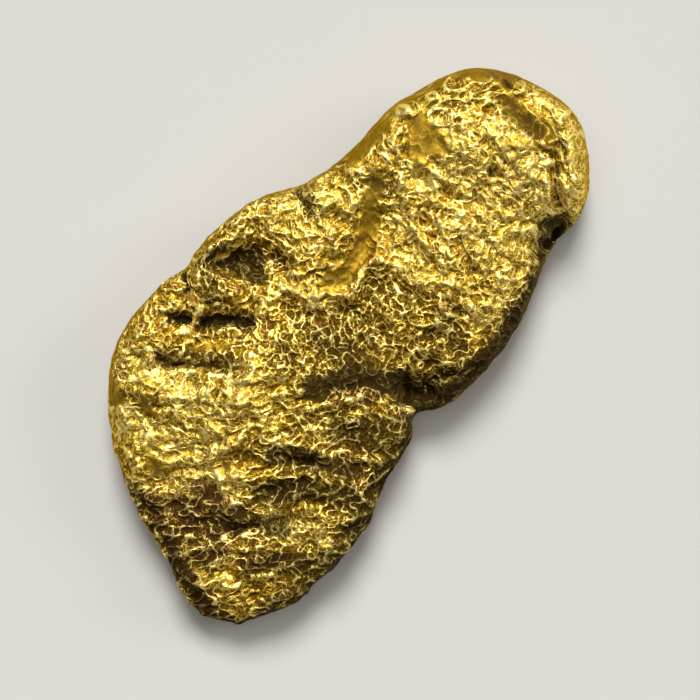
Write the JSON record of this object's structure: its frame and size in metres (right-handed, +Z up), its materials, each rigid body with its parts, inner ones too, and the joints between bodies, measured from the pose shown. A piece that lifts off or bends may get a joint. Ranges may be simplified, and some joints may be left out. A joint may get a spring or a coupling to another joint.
{
  "type": "gold nugget",
  "caption": "Natural placer gold nugget, a flattened, water-worn and folded lump with a broad round head, a notched waist and a tapering tail, lying on its worn flat underside.",
  "frame": {"origin": "centre of the bounding box in plan, at the height of the surface that the nugget lies on", "axes": "+Y runs along the nugget towards its broad round head, +X towards the steep side with the deep notch, +Z up out of the crinkled top face"},
  "size_m": [0.009, 0.018, 0.003],
  "materials": {
    "gold": "native gold, crinkled and water-worn, satin on the faces and burnished on the rim, with dull brown iron stain in the hollows"
  },
  "bodies": {
    "root": {"nugget": "gold"}
  },
  "joints": []
}
